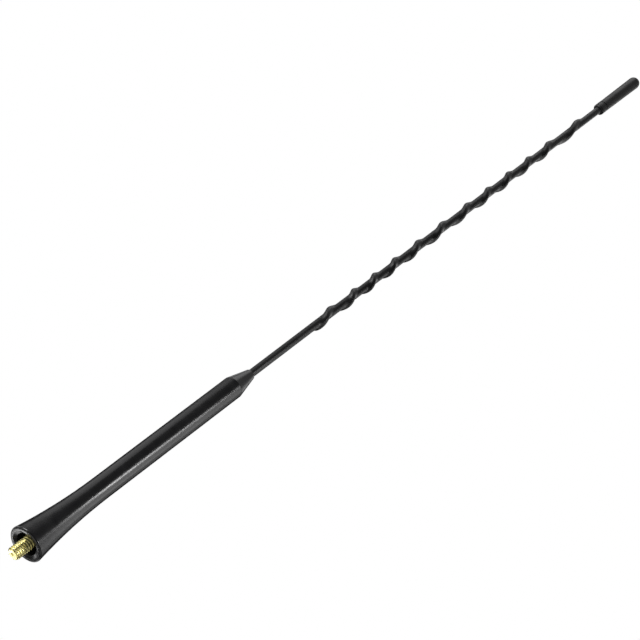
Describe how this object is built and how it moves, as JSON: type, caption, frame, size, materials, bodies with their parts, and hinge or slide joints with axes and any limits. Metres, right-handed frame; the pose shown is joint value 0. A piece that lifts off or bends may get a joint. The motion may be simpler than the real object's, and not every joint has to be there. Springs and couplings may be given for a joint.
{
  "type": "car roof mast aerial",
  "caption": "Slim black screw-in mast aerial for a car roof: flared hollow grip on a brass threaded stud, conical shoulder, thin whip with a spiral ridge, and a domed tip cap.",
  "frame": {"origin": "centre of the grip's flat seating rim, on the axis of the stud", "axes": "+Z along the mast from the stud to the tip cap; the stud points to -Z; -Y is the side that the picture shows"},
  "size_m": [0.0142, 0.0142, 0.4085],
  "materials": {
    "grip_plastic": "semi-gloss moulded black",
    "stud_brass": "bright turned",
    "rod_steel": "drawn, hidden",
    "sleeve_plastic": "satin black",
    "cap_plastic": "satin black"
  },
  "bodies": {
    "root": {"grip": "grip_plastic", "stud": "stud_brass", "radiator_rod": "rod_steel", "sleeve": "sleeve_plastic", "tip_cap": "cap_plastic"}
  },
  "joints": []
}
